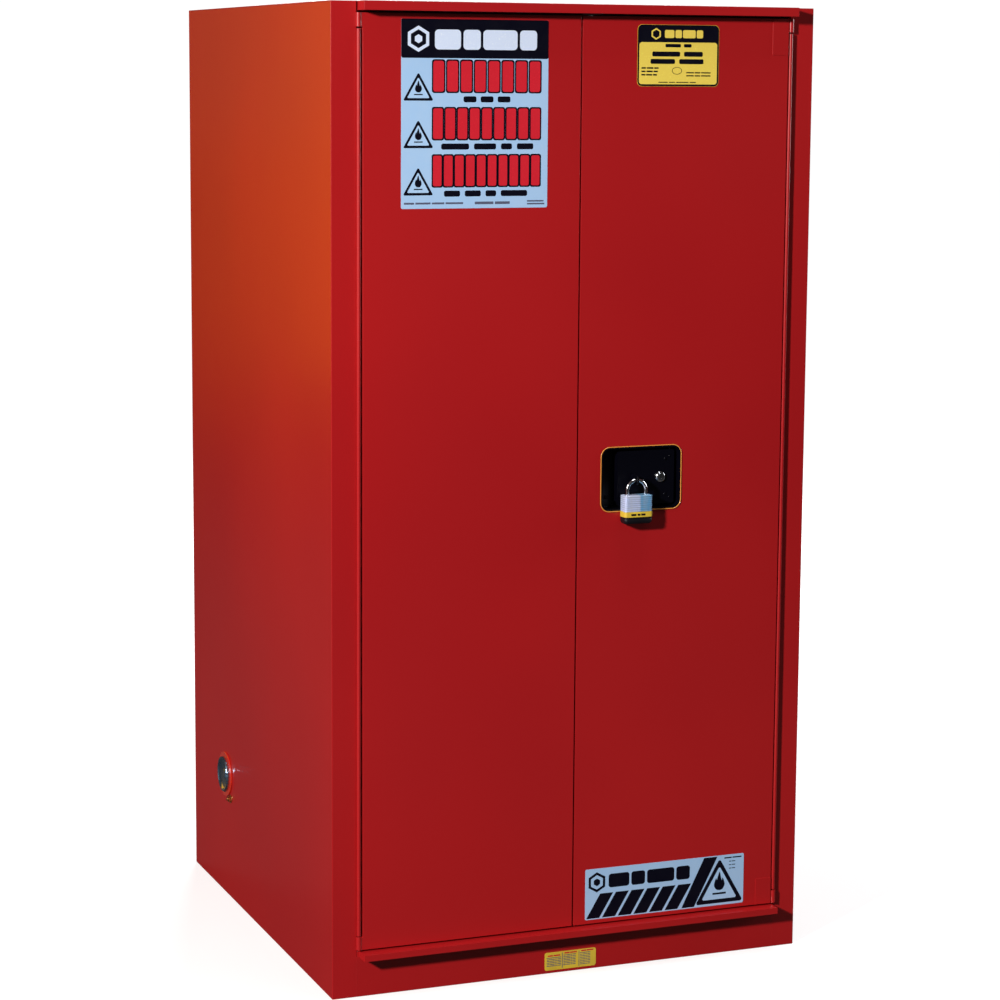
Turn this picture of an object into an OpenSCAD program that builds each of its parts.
// Double-wall flammable storage cabinet with two hinged doors and a three-point paddle latch.
// X runs to the right, Y to the back and Z up. The origin is at the bottom centre of the whole cabinet.

/* [Cabinet] */
// Width of the outer shell
body_w = 864; // [800:1:1000]
// Depth of the outer shell
body_d = 864; // [600:1:1000]
// Height of the outer shell
body_h = 1651; // [1500:1:1800]
// Thickness of the shell sheet
sheet_t = 1.2; // [1:0.1:1.5]
// Air space between the outer wall and the liner
wall_gap = 38; // [36:1:40]
// Width of the front posts
stile_w = 43; // [43:1:50]
// Height of the outer floor pan above the ground
pan_z = 18; // [18:1:20]
// Depth of the liquid-tight sump
sump_depth = 51; // [45:1:60]

/* [Doors] */
// Thickness of each door
door_t = 40; // [38:1:42]
// How far the door faces stand in front of the posts
door_proud = 8; // [7:1:9]
// Gap between the two doors
seam = 3; // [3:0.5:4]
// Height of the doors' lower edge
door_bottom = 83; // [83:1:86]
// Clearance above the doors
door_top_gap = 3.5; // [3:0.5:5]
// Gap between each door edge and its post
hinge_gap = 8; // [8:0.5:8.5]

/* [Hinges] */
// Radius of the hinge knuckles
knuckle_r = 3.5; // [3:0.1:3.5]
// Length of one hinge knuckle
knuckle_l = 25; // [20:5:50]
// Radius of the hinge pin
pin_r = 1.6; // [1:0.1:2]
// How far the hinge axis stands in front of the posts
pivot_proud = 5; // [5:0.5:6]
// Distance from the ends of the door to the hinge
hinge_inset = 24.5; // [22:0.5:40]

/* [Hood and sill] */
// Height of the rail over the doors
hood_h = 15; // [14:1:20]
// How far the rail stands in front of the posts
hood_proud = 34; // [18:1:34]
// Height of the sill's top face
sill_top = 80; // [78:1:80]
// Height of the sill's front lip
sill_lip = 11; // [9:1:14]
// How far the sill stands in front of the posts
sill_proud = 30; // [26:1:32]

/* [Handle] */
// Width of the recessed handle pan
grip_w = 145; // [140:1:150]
// Height of the recessed handle pan
grip_h = 106; // [100:1:120]
// Depth of the recessed handle pan
grip_d = 27; // [24:1:28]
// Left edge of the handle pan, from the middle of the cabinet
grip_x = 45; // [45:1:50]
// Height of the handle pan's lower edge
grip_z = 805; // [760:5:840]
// Width of the finger gap beside the paddle
finger_gap = 30; // [26:1:34]
// Radius of the latch rods
rod_r = 5; // [4.5:0.5:6]

/* [Padlock] */
// Width of the padlock body
lock_w = 52; // [50:1:54]
// Height of the padlock body without its bumper
lock_h = 37; // [34:1:40]
// Thickness of the padlock body
lock_t = 25; // [22:1:25]
// Height of the rubber bumper under the body
bumper_h = 12; // [8:1:14]
// Radius of the shackle rod
shackle_r = 3.2; // [3:0.1:3.5]
// Distance between the shackle's legs
shackle_span = 34; // [32:1:36]

/* [Vents and feet] */
// Distance of the vents behind the front posts
vent_y = 645; // [600:5:700]
// Height of the lower vent
vent_low_z = 231; // [220:1:260]
// Height of the upper vent
vent_high_z = 1420; // [1300:5:1500]
// Bore radius of a vent collar
vent_r = 25.4; // [22:0.1:26]
// Radius of the levelling feet's threads
foot_r = 5; // [4:0.5:6]

/* [Shelves] */
// Height of the lower shelf
shelf_low_z = 596; // [520:76:672]
// Height of the upper shelf
shelf_high_z = 1128; // [1052:76:1204]

/* [Hidden] */
$fn = 48;

// Frame: the padlock is the front-most piece, so the whole depth runs from it to the back panel
running = 0.05;          // radial clearance of pins and shafts
over = 1;                // how far a cut runs past a face
lock_gap = 1;            // gap between the hanging padlock and the handle rim
rim_t = 1;               // thickness of the handle's rim
lock_back = door_proud + rim_t + lock_gap;
front_extent = lock_back + lock_t;
front_y = -(body_d + front_extent) / 2 + front_extent;

// Shell
half_w = body_w / 2;
post_x = half_w - stile_w;
top_z = body_h - sheet_t;
sump_z = pan_z + sheet_t + wall_gap;
sill_wall_z = sump_z + sheet_t + sump_depth;
liner_x = half_w - 2 * sheet_t - wall_gap;
liner_z = body_h - 2 * sheet_t - wall_gap;
liner_y = body_d - 2 * sheet_t - wall_gap;
post_d = door_t - door_proud + 2;      // depth of the posts, 2 mm deeper than the closed doors
liner_front = post_d + sheet_t;
end_inset = 2;                         // side gap of the hood and the sill to the posts
hood_z = body_h - hood_h;
sill_inset = 4;                        // side gap of the sill's lip to the posts
weld_gap = 0.5;                        // side gap of the base plate to the posts

// Vents
cap_proud = 8;                         // how far the vent caps stand off the sides
ring_t = 3;                            // thickness of the collar's outside ring
ring_r = 42;
cap_r = 33;
collar_wall = 2;
collar_fit = 0.1;                      // radial gap between a collar and the walls
screen_t = 1;
stud_at = [-32, -41];                  // earthing stud, back and up from the lower vent's centre
stud_r = 3;
stud_nut_r = 6;
stud_nut_t = 4;
washer_r = 8;
washer_t = 1;

// Doors
door_top = hood_z - door_top_gap;
door_edge = post_x - hinge_gap;
door_back = door_t - door_proud;
door_inner_t = 1.2;
pan_edge = 1;                          // side gap between a door's inner pan and its skin
rib_offset = 90;                       // ribs to the left and the right of the inner pan's middle
rib_w = 40;
rib_end = 60;                          // from a rib's end to the inner pan's
rib_depth = 6;
patch_t = 0.8;                         // doublers on the right door's outer corners
patch_w = 30;
patch_low_h = 47;
patch_high_h = 61;

// Hinges
leaf_t = 1.5;
leaf_short = 4;                        // from a leaf's back edge to the back of its post or door
pivot_in = 2;                          // from the hinge axis to the post's edge
pivot_x = post_x - pivot_in;
hinge_low = door_bottom + hinge_inset;
knuckle_count = floor((door_top - door_bottom - 2 * hinge_inset) / knuckle_l);
knuckle_gap = 0.1;
ear_r = 4.8;                           // radius of the rounded ears over the hinge ends
ear_l = hinge_inset - 2;

// Handle
grip_wall = 1.5;
grip_corner = 14;
rim_w = 3;
spindle_x = grip_x + grip_w - 12;
spindle_y = 6;
spindle_r = 4;
spindle_end = 4;                       // how far the spindle runs past the pan
hub_r = spindle_r + 2.5;
paddle_left = grip_x + grip_wall + finger_gap;
paddle_gap = 5;                        // gap above and below the paddle
paddle_y = -2;                         // front face of the paddle
paddle_t = 5;
paddle_z0 = grip_z + grip_wall + paddle_gap;
paddle_z1 = grip_z + grip_h - grip_wall - paddle_gap;
key_x = spindle_x - 22;
key_z = grip_z + grip_h / 2;
barrel_r = 9.5;
barrel_body_r = barrel_r - 1.5;
barrel_head_t = 4;
plug_r = 6;
plug_l = 11;
plug_proud = 0.5;                      // from the plug's face to the barrel's

// Latch
rod_x = 22;                            // line of the two vertical rods, from the middle of the cabinet
rod_y = 12;
rod_hole_r = rod_r + 1.5;              // holes for the rods in the hood and the sill
rod_inner_end = 40;                    // gap from the handle pan's height to each rod's inner end
strike_t = 1;
strike_gap = 1;
bolt_z = grip_z - 120;
bolt_l = 48;
keeper_r = rod_r + 2;
guide_half = 10;                       // half width of a rod guide
guide_h = 14;
bolt_guide_x = [rod_x + 12, rod_x + 26];

// Padlock
eye_x = grip_x + 58;
eye_z = grip_z + 52;
shackle_y = -(lock_back + lock_t / 2);
bow_r = shackle_span / 2;
bow_z = eye_z - bow_r;                 // height where the bow meets the legs
lock_top = bow_z - 8;
leg_depth = 20;
eye_hole_r = 5;
eye_hole_up = 1;                       // from the eye's middle to its hole's
eye_r = 8;
eye_t = 3;
lock_corner = 5;
keyway_r = 7;
keyway_depth = 3;

// Shelves
shelf_x = liner_x - 6;
shelf_front = liner_front + 60;
shelf_back = liner_y - 20;
shelf_t = 1.5;
shelf_lip = 30;
shelf_notch = 24;                      // from a shelf's side to the end of its lip
shelf_stop = 12;                       // upstand at the back
standard_t = 1.5;
standard_w = 25;
standard_y = [shelf_front + 60, shelf_back - 60];
standard_z0 = sill_wall_z + 40;
slot_count = 18;
slot_pitch = 76;
slot_h = 25;
slot_w = 6;
clip_l = 14;
clip_h = 10;
clip_t = 3;

// Feet
foot_inset = 60;
foot_pad_r = 18;
foot_pad_h = 5;
foot_l = 40;
nut_r = 9;
nut_h = 8;

// Label plates: left bottom corner, size, thickness and corner radius
label_t = 0.3;
label_r = 3;
main_at = [-316, 1319];
main_size = [256, 305];
small_at = [100, 1518];
small_size = [150, 102];
small_r = 8;
lower_at = [23, 90];
lower_size = [304, 90];
low_sill_at = [-48, 5];
low_sill_size = [96, 32];
low_sill_r = 4;

red = "firebrick";
zinc = "silver";
black = [0.06, 0.06, 0.07];
silver_blue = [0.66, 0.75, 0.88];
galvanised = "lightsteelblue";

// Everything below is measured from the front face of the posts, so this moves it into the frame
module placed() translate([0, front_y, 0]) children();

// Box between two opposite corners
module block(low, high) translate(low) cube(high - low);

// Round bar along X, Y or Z that starts at a point
module bar_x(at, r, l) translate(at) rotate([0, 90, 0]) cylinder(r = r, h = l);
module bar_y(at, r, l) translate(at) rotate([-90, 0, 0]) cylinder(r = r, h = l);
module bar_z(at, r, l) translate(at) cylinder(r = r, h = l);

// Mirrors a piece that is drawn for the right side, when side is -1
module on_side(side) if (side > 0) children(); else mirror([1, 0, 0]) children();

// Plate in the XZ plane with rounded corners, from its left bottom front corner
module round_plate(at, w, t, h, r) {
    translate(at) translate([0, t, 0]) rotate([90, 0, 0]) linear_extrude(t) round_outline(w, h, r);
}

module round_outline(w, h, r) {
    translate([r, 0]) square([w - 2 * r, h]);
    translate([0, r]) square([w, h - 2 * r]);
    for (x = [r, w - r], z = [r, h - r]) translate([x, z]) circle(r);
}

// ---- Shell ----

module side_panel(side, vent_z) {
    color(red) placed() on_side(side) difference() {
        block([half_w - sheet_t, sheet_t, 0], [half_w, body_d - sheet_t, top_z]);
        bar_x([half_w - 2 * sheet_t, vent_y, vent_z], vent_r + collar_wall, 4 * sheet_t);
    }
}

module side_panel_left() side_panel(-1, vent_low_z);

module side_panel_right() side_panel(1, vent_high_z);

module back_panel() {
    color(red) placed() block([-half_w, body_d - sheet_t, 0], [half_w, body_d, top_z]);
}

module top_panel() {
    color(red) placed() block([-half_w, sheet_t, top_z], [half_w, body_d, body_h]);
}

module base_pan() {
    pan_x = half_w - sheet_t;
    color(red) placed() difference() {
        union() {
            block([-pan_x, post_d, pan_z], [pan_x, body_d - sheet_t, pan_z + sheet_t]);
            block([-post_x, sheet_t, pan_z], [post_x, post_d, pan_z + sheet_t]);
            for (x = [-1, 1], y = [foot_inset, body_d - foot_inset]) {
                translate([x * (half_w - foot_inset), y, pan_z + sheet_t])
                    cylinder(r = nut_r, h = nut_h, $fn = 6);
            }
        }
        for (x = [-1, 1], y = [foot_inset, body_d - foot_inset]) {
            bar_z([x * (half_w - foot_inset), y, pan_z - 1], foot_r, nut_h + 4);
        }
    }
}

module liner_side(side, vent_z) {
    color(red) placed() on_side(side) difference() {
        block([liner_x, post_d, sump_z], [liner_x + sheet_t, liner_y + sheet_t, liner_z]);
        bar_x([liner_x - sheet_t, vent_y, vent_z], vent_r + collar_wall, 4 * sheet_t);
    }
}

module liner_left() liner_side(-1, vent_low_z);

module liner_right() liner_side(1, vent_high_z);

module liner_back() {
    color(red) placed() block([-liner_x, liner_y, sump_z], [liner_x, liner_y + sheet_t, liner_z]);
}

module liner_top() {
    outer_x = liner_x + sheet_t;
    color(red) placed()
        block([-outer_x, liner_front, liner_z], [outer_x, liner_y + sheet_t, liner_z + sheet_t]);
}

module sump_floor() {
    color(red) placed() block([-liner_x, liner_front, sump_z], [liner_x, liner_y, sump_z + sheet_t]);
}

module sump_sill() {
    color(red) placed() block([-liner_x, post_d, sump_z], [liner_x, liner_front, sill_wall_z]);
}

// Channel post: front plate, inner return and rear flange
module stile(side) {
    inner_x = half_w - sheet_t;
    color(red) placed() on_side(side) {
        block([post_x, 0, 0], [half_w, sheet_t, body_h]);
        block([post_x, 0, 0], [post_x + sheet_t, post_d, top_z]);
        block([post_x, post_d - sheet_t, 0], [inner_x, post_d, top_z]);
    }
}

module stile_left() stile(-1);

module stile_right() stile(1);

// Projecting rail over the doors, open at the back under the top panel
module hood_rail() {
    hood_x = post_x - end_inset;
    color(red) placed() {
        block([-hood_x, -hood_proud, hood_z], [hood_x, sheet_t - hood_proud, body_h]);
        block([-hood_x, -hood_proud, top_z], [hood_x, sheet_t, body_h]);
        difference() {
            block([-hood_x, -hood_proud, hood_z], [hood_x, post_d, hood_z + sheet_t]);
            bar_z([rod_x, rod_y, hood_z - over], rod_hole_r, sheet_t + 2 * over);
        }
        for (x = [-hood_x, hood_x - sheet_t]) {
            block([x, -hood_proud, hood_z], [x + sheet_t, sheet_t, body_h]);
        }
    }
}

module door_stop_rail() {
    color(red) placed() block([-post_x, post_d, liner_z], [post_x, liner_front, top_z]);
}

module sill_ledge() {
    ledge_x = post_x - sill_inset;
    lip_z = sill_top - sill_lip;
    color(red) placed() {
        difference() {
            block([-ledge_x, -sill_proud, sill_top - sheet_t], [ledge_x, post_d, sill_top]);
            bar_z([rod_x, rod_y, sill_top - sheet_t - over], rod_hole_r, sheet_t + 2 * over);
        }
        block([-ledge_x, -sill_proud, lip_z], [ledge_x, sheet_t - sill_proud, sill_top]);
        for (x = [-ledge_x, ledge_x - sheet_t]) {
            block([x, -sill_proud, lip_z], [x + sheet_t, 0, sill_top]);
        }
    }
}

module base_front() {
    plate_x = post_x - weld_gap;
    color(red) placed() block([-plate_x, 0, 0], [plate_x, sheet_t, sill_top - sheet_t]);
}

// ---- Hinges, drawn for the right side ----

// Every second knuckle, starting with the first or the second
module knuckles(first) {
    for (i = [first : 2 : knuckle_count - 1]) {
        bar_z([pivot_x, -pivot_proud, hinge_low + i * knuckle_l + knuckle_gap],
            knuckle_r, knuckle_l - 2 * knuckle_gap);
    }
}

module hinge_bore() {
    bar_z([pivot_x, -pivot_proud, hinge_low - over], pin_r + running, knuckle_count * knuckle_l + 2 * over);
}

module hinge_frame_leaf(side) {
    leaf_x = post_x - leaf_t;
    color(red) placed() on_side(side) difference() {
        union() {
            knuckles(0);
            block([leaf_x, -1, hinge_low], [post_x, post_d - leaf_short, hinge_low + knuckle_count * knuckle_l]);
            for (i = [0 : 2 : knuckle_count - 1]) {
                low = hinge_low + i * knuckle_l + knuckle_gap;
                block([leaf_x, -pivot_proud, low], [post_x, -1, low + knuckle_l - 2 * knuckle_gap]);
            }
        }
        hinge_bore();
    }
}

module hinge_frame_leaf_left() hinge_frame_leaf(-1);

module hinge_frame_leaf_right() hinge_frame_leaf(1);

module hinge_door_leaf(side) {
    tab = [knuckle_r - leaf_t, knuckle_r];
    color(red) placed() on_side(side) difference() {
        union() {
            knuckles(1);
            block([door_edge, 0, hinge_low],
                [door_edge + leaf_t, door_back - leaf_short, hinge_low + knuckle_count * knuckle_l]);
            for (i = [1 : 2 : knuckle_count - 1]) {
                low = hinge_low + i * knuckle_l + knuckle_gap;
                high = low + knuckle_l - 2 * knuckle_gap;
                block([door_edge, tab[0] - pivot_proud, low], [pivot_x, tab[1] - pivot_proud, high]);
                block([door_edge, tab[0] - pivot_proud, low], [door_edge + leaf_t, 0, high]);
            }
        }
        hinge_bore();
    }
}

module hinge_door_leaf_left() hinge_door_leaf(-1);

module hinge_door_leaf_right() hinge_door_leaf(1);

module hinge_pins() {
    color(zinc) placed() for (side = [-1, 1]) {
        bar_z([side * pivot_x, -pivot_proud, hinge_low], pin_r, knuckle_count * knuckle_l);
    }
}

// ---- Doors, drawn for the right side ----

// Folded tray with rounded ears over the ends of the hinge
module door_tray() {
    low = [seam / 2, -door_proud, door_bottom];
    high = [door_edge, door_back, door_top];
    inset = [sheet_t, sheet_t, sheet_t];
    difference() {
        block(low, high);
        block(low + inset, high - [sheet_t, -1, sheet_t]);
    }
    for (z = [door_bottom, door_top - ear_l]) {
        bar_z([pivot_x, -pivot_proud, z], ear_r, ear_l);
        block([door_edge, -door_proud, z], [pivot_x, ear_r - door_proud, z + ear_l]);
    }
}

module door_skin_left() {
    color(red) placed() difference() {
        on_side(-1) door_tray();
        bar_x([-seam / 2 - 2 * sheet_t, rod_y, bolt_z], keeper_r, 3 * sheet_t);
    }
}

module door_skin_right() {
    color(red) placed() {
        difference() {
            door_tray();
            grip_cut(0, -door_proud - over, sheet_t + 2 * over);
            for (z = [door_bottom, door_top - sheet_t]) {
                bar_z([rod_x, rod_y, z - over], rod_r + running, sheet_t + 2 * over);
            }
            bar_x([seam / 2 - over, rod_y, bolt_z], rod_r + running, sheet_t + 2 * over);
        }
        for (span = [[door_bottom, patch_low_h], [door_top - patch_high_h, patch_high_h]]) {
            block([door_edge - patch_w, -door_proud - patch_t, span[0]],
                [door_edge, -door_proud, span[0] + span[1]]);
        }
    }
}

// The handle pan's outline, grown on every side and cut from a face
module grip_cut(grow, y, depth) {
    round_plate([grip_x - grow, y, grip_z - grow], grip_w + 2 * grow, depth,
        grip_h + 2 * grow, grip_corner + grow);
}

module door_inner() {
    x0 = seam / 2 + sheet_t + pan_edge;
    x1 = door_edge - sheet_t - pan_edge;
    z0 = door_bottom + sheet_t + pan_edge;
    z1 = door_top - sheet_t - pan_edge;
    rib_x = (x0 + x1) / 2;
    block([x0, door_back - door_inner_t, z0], [x1, door_back, z1]);
    for (x = [rib_x - rib_offset, rib_x + rib_offset]) {
        block([x - rib_w / 2, door_back - rib_depth, z0 + rib_end],
            [x + rib_w / 2, door_back - door_inner_t, z1 - rib_end]);
    }
}

module door_inner_left() color(red) placed() on_side(-1) door_inner();

module door_inner_right() color(red) placed() door_inner();

// ---- Latch ----

module handle_pan() {
    y0 = -door_proud;
    floor_y = y0 + grip_d;
    color(black) placed() difference() {
        union() {
            grip_cut(-running, y0, grip_d);
            grip_cut(rim_w, y0 - rim_t, rim_t);
        }
        grip_cut(-grip_wall, y0 - rim_t - over, grip_d - grip_wall + rim_t + over);
        bar_z([spindle_x, spindle_y, grip_z - over], spindle_r + running, grip_h + 2 * over);
    }
}

// Paddle plate on a vertical spindle, with a turned-in finger edge and a hub at the spindle
module handle_paddle() {
    wing = 4;
    edge_t = 3;
    edge_depth = 14;
    edge_end = 6;
    color(black) placed() difference() {
        union() {
            round_plate([paddle_left, paddle_y, paddle_z0], spindle_x + wing - paddle_left,
                paddle_t, paddle_z1 - paddle_z0, 4);
            block([paddle_left, paddle_y, paddle_z0 + edge_end],
                [paddle_left + edge_t, paddle_y + edge_depth, paddle_z1 - edge_end]);
            bar_z([spindle_x, spindle_y, paddle_z0], hub_r, paddle_z1 - paddle_z0);
            bar_z([spindle_x, spindle_y, grip_z - spindle_end], spindle_r, grip_h + 2 * spindle_end);
        }
        bar_y([key_x, paddle_y - over, key_z], barrel_body_r + running, paddle_t + 2 * over);
        block([eye_x - eye_t / 2, paddle_y - over, eye_z - eye_r - over],
            [eye_x + eye_t / 2, paddle_y + eye_t, eye_z + eye_r + over]);
    }
}

// Steel tongue with a hole across it, for the padlock
module hasp_eye() {
    color(black) placed() difference() {
        union() {
            block([eye_x - eye_t / 2, shackle_y, eye_z - eye_r],
                [eye_x + eye_t / 2, paddle_y + eye_t, eye_z + eye_r]);
            bar_x([eye_x - eye_t / 2, shackle_y, eye_z], eye_r, eye_t);
        }
        bar_x([eye_x - eye_t, shackle_y, eye_z + eye_hole_up], eye_hole_r, 2 * eye_t);
    }
}

module lock_barrel() {
    color(zinc) placed() difference() {
        union() {
            bar_y([key_x, paddle_y - barrel_head_t, key_z], barrel_r, barrel_head_t);
            bar_y([key_x, paddle_y, key_z], barrel_body_r, plug_l);
        }
        bar_y([key_x, paddle_y - barrel_head_t - over, key_z], plug_r + running,
            plug_l + barrel_head_t + 2 * over);
    }
}

module lock_plug() {
    face = paddle_y - barrel_head_t - plug_proud;
    tail = 3;
    slot_half = [0.8, 4];
    slot_depth = 6;
    color(zinc) placed() difference() {
        bar_y([key_x, face, key_z], plug_r, plug_l + tail);
        block([key_x - slot_half[0], face - over, key_z - slot_half[1]],
            [key_x + slot_half[0], face + slot_depth, key_z + slot_half[1]]);
    }
}

module rod_guides() {
    guide_z = [door_top - 60, grip_z + grip_h + 120, grip_z - 170, door_bottom + 50];
    color(zinc) placed() {
        for (z = guide_z) difference() {
            block([rod_x - guide_half, sheet_t - door_proud, z],
                [rod_x + guide_half, rod_y + guide_half, z + guide_h]);
            bar_z([rod_x, rod_y, z - over], rod_r + running, guide_h + 2 * over);
        }
        difference() {
            block([bolt_guide_x[0], sheet_t - door_proud, bolt_z - guide_half],
                [bolt_guide_x[1], rod_y + guide_half, bolt_z + guide_half]);
            bar_x([bolt_guide_x[0] - over, rod_y, bolt_z], rod_r + running, guide_h + 2 * over);
        }
    }
}

module latch_rod_top() {
    low = grip_z + grip_h + rod_inner_end;
    high = hood_z - strike_t - strike_gap;
    color(zinc) placed() bar_z([rod_x, rod_y, low], rod_r, high - low);
}

module latch_rod_bottom() {
    low = sill_top + strike_t + strike_gap;
    high = bolt_z - rod_inner_end;
    color(zinc) placed() bar_z([rod_x, rod_y, low], rod_r, high - low);
}

module latch_bolt() {
    tip = seam / 2 - 1;
    color(zinc) placed() bar_x([tip, rod_y, bolt_z], rod_r, bolt_l);
}

module strike_plates() {
    size = [18, 10];
    color(zinc) placed() for (z = [hood_z - strike_t, sill_top]) difference() {
        block([rod_x - size[0], rod_y - size[1], z], [rod_x + size[0], rod_y + size[1], z + strike_t]);
        bar_z([rod_x, rod_y, z - over], rod_r + 1, strike_t + 2 * over);
    }
}

// Cup that takes the middle bolt, inside the left door
module bolt_keeper() {
    edge = -seam / 2;
    depth = 14;
    color(zinc) placed() difference() {
        bar_x([edge - depth, rod_y, bolt_z], keeper_r, depth);
        bar_x([edge - depth + 2, rod_y, bolt_z], keeper_r - 1, depth);
    }
}

// ---- Padlock ----

module padlock_shackle() {
    color(zinc) placed() {
        translate([eye_x, shackle_y, bow_z]) rotate([90, 0, 0])
            rotate_extrude(angle = 180) translate([bow_r, 0]) circle(shackle_r, $fn = 32);
        for (side = [-1, 1]) {
            bar_z([eye_x + side * bow_r, shackle_y, lock_top - leg_depth], shackle_r,
                bow_z - lock_top + leg_depth);
        }
    }
}

module padlock_body() {
    color(silver_blue) placed() difference() {
        lock_block(lock_top - lock_h, lock_h);
        for (side = [-1, 1]) {
            bar_z([eye_x + side * bow_r, shackle_y, lock_top - leg_depth - 0.1], shackle_r + running,
                leg_depth + over);
        }
    }
}

module padlock_bumper() {
    color(black) placed() difference() {
        lock_block(lock_top - lock_h - bumper_h, bumper_h);
        bar_z([eye_x, shackle_y, lock_top - lock_h - bumper_h - over], keyway_r, keyway_depth + over);
    }
}

// Block with rounded vertical edges, centred on the shackle
module lock_block(z, h) {
    translate([eye_x - lock_w / 2, shackle_y - lock_t / 2, z])
        linear_extrude(h) round_outline(lock_w, lock_t, lock_corner);
}

// ---- Vents and earthing ----

// Pipe through both walls with a ring outside
module vent_collar(side, z) {
    pipe_l = half_w + ring_t - liner_x;
    color("crimson") placed() on_side(side) difference() {
        union() {
            bar_x([liner_x, vent_y, z], vent_r + collar_wall - collar_fit, pipe_l);
            bar_x([half_w, vent_y, z], ring_r, ring_t);
        }
        bar_x([liner_x - over, vent_y, z], vent_r, pipe_l + 2 * over);
    }
}

module vent_collar_low() vent_collar(-1, vent_low_z);

module vent_collar_high() vent_collar(1, vent_high_z);

// Screw plug with a dished face and a square drive recess
module vent_cap(side, z) {
    face = half_w + ring_t;
    flange_t = cap_proud - ring_t;
    plug_depth = 16;
    dish_r = 21;
    drive = 8;
    color(zinc) placed() on_side(side) difference() {
        union() {
            bar_x([face - plug_depth, vent_y, z], vent_r - running, plug_depth);
            bar_x([face, vent_y, z], cap_r, flange_t);
        }
        translate([face + 1, vent_y, z]) rotate([0, 90, 0])
            cylinder(r1 = dish_r, r2 = dish_r + flange_t, h = flange_t);
        block([face - drive, vent_y - drive, z - drive], [face + 2, vent_y + drive, z + drive]);
    }
}

module vent_cap_low() vent_cap(-1, vent_low_z);

module vent_cap_high() vent_cap(1, vent_high_z);

// Crossed-bar discs inside the collars
module flame_screens() {
    mesh = 6;
    hole = 2;
    color(zinc) placed() for (v = [[-1, vent_low_z], [1, vent_high_z]]) {
        on_side(v[0]) difference() {
            bar_x([liner_x + 2, vent_y, v[1]], vent_r - running, screen_t);
            for (i = [-3 : 3], j = [-3 : 3]) if (i * i + j * j < 11) {
                block([liner_x + 1, vent_y + i * mesh - hole, v[1] + j * mesh - hole],
                    [liner_x + 4, vent_y + i * mesh + hole, v[1] + j * mesh + hole]);
            }
        }
    }
}

// Earthing screw with its nut and washer
module ground_stud() {
    y = vent_y + stud_at[0];
    z = vent_low_z + stud_at[1];
    color("goldenrod") placed() {
        bar_x([-half_w - cap_proud, y, z], stud_r, cap_proud);
        translate([-half_w - washer_t - stud_nut_t, y, z]) rotate([0, 90, 0])
            cylinder(r = stud_nut_r, h = stud_nut_t, $fn = 6);
        bar_x([-half_w - washer_t, y, z], washer_r, washer_t);
    }
}

// ---- Shelves ----

module shelf(z) {
    color(galvanised) placed() {
        block([-shelf_x, shelf_front, z], [shelf_x, shelf_back, z + shelf_t]);
        for (y = [shelf_front, shelf_back - shelf_t]) {
            block([-shelf_x + shelf_notch, y, z - shelf_lip], [shelf_x - shelf_notch, y + shelf_t, z]);
        }
        block([-shelf_x, shelf_back - shelf_t, z], [shelf_x, shelf_back, z + shelf_stop]);
    }
}

module shelf_low() shelf(shelf_low_z);

module shelf_high() shelf(shelf_high_z);

module shelf_standards() {
    x0 = liner_x - standard_t;
    color(galvanised) placed() for (side = [-1, 1], y = standard_y) on_side(side) difference() {
        block([x0, y, standard_z0], [liner_x, y + standard_w, standard_z0 + slot_count * slot_pitch]);
        for (i = [0 : slot_count - 1]) {
            z = standard_z0 + (i + 0.5) * slot_pitch - slot_h / 2;
            block([x0 - 1, y + (standard_w - slot_w) / 2, z],
                [liner_x - 0.3, y + (standard_w + slot_w) / 2, z + slot_h]);
        }
    }
}

module shelf_clips() {
    x0 = liner_x - standard_t - clip_l;
    color(zinc) placed() for (side = [-1, 1], y = standard_y, z = [shelf_low_z, shelf_high_z]) {
        on_side(side) block([x0, y + standard_w / 2 - clip_t, z - clip_h],
            [x0 + clip_l, y + standard_w / 2 + clip_t, z]);
    }
}

// ---- Feet ----

module foot(x, y) {
    color(zinc) placed() {
        bar_z([x * (half_w - foot_inset), y, 0], foot_pad_r, foot_pad_h);
        bar_z([x * (half_w - foot_inset), y, 0], foot_r - running, foot_l);
    }
}

module foot_front_left() foot(-1, foot_inset);

module foot_front_right() foot(1, foot_inset);

module foot_back_left() foot(-1, body_d - foot_inset);

module foot_back_right() foot(1, body_d - foot_inset);

// ---- Blank label plates ----

module label_plate(at, size, face, r, tone) {
    color(tone) placed() round_plate([at[0], face - label_t, at[1]], size[0], label_t, size[1], r);
}

module label_main() label_plate(main_at, main_size, -door_proud, label_r, silver_blue);

module label_small() label_plate(small_at, small_size, -door_proud, small_r, "gold");

module label_lower() label_plate(lower_at, lower_size, -door_proud, label_r, silver_blue);

module sill_label() label_plate(low_sill_at, low_sill_size, 0, low_sill_r, "goldenrod");

side_panel_left();
side_panel_right();
back_panel();
top_panel();
base_pan();
liner_left();
liner_right();
liner_back();
liner_top();
sump_floor();
sump_sill();
stile_left();
stile_right();
hood_rail();
door_stop_rail();
sill_ledge();
base_front();
hinge_frame_leaf_left();
hinge_frame_leaf_right();
hinge_pins();
strike_plates();
vent_collar_low();
vent_collar_high();
vent_cap_low();
vent_cap_high();
flame_screens();
ground_stud();
shelf_standards();
shelf_clips();
sill_label();
shelf_low();
shelf_high();
foot_front_left();
foot_front_right();
foot_back_left();
foot_back_right();
door_skin_left();
door_inner_left();
hinge_door_leaf_left();
bolt_keeper();
label_main();
door_skin_right();
door_inner_right();
hinge_door_leaf_right();
handle_pan();
rod_guides();
label_small();
label_lower();
handle_paddle();
hasp_eye();
lock_barrel();
lock_plug();
latch_rod_top();
latch_rod_bottom();
latch_bolt();
padlock_shackle();
padlock_body();
padlock_bumper();
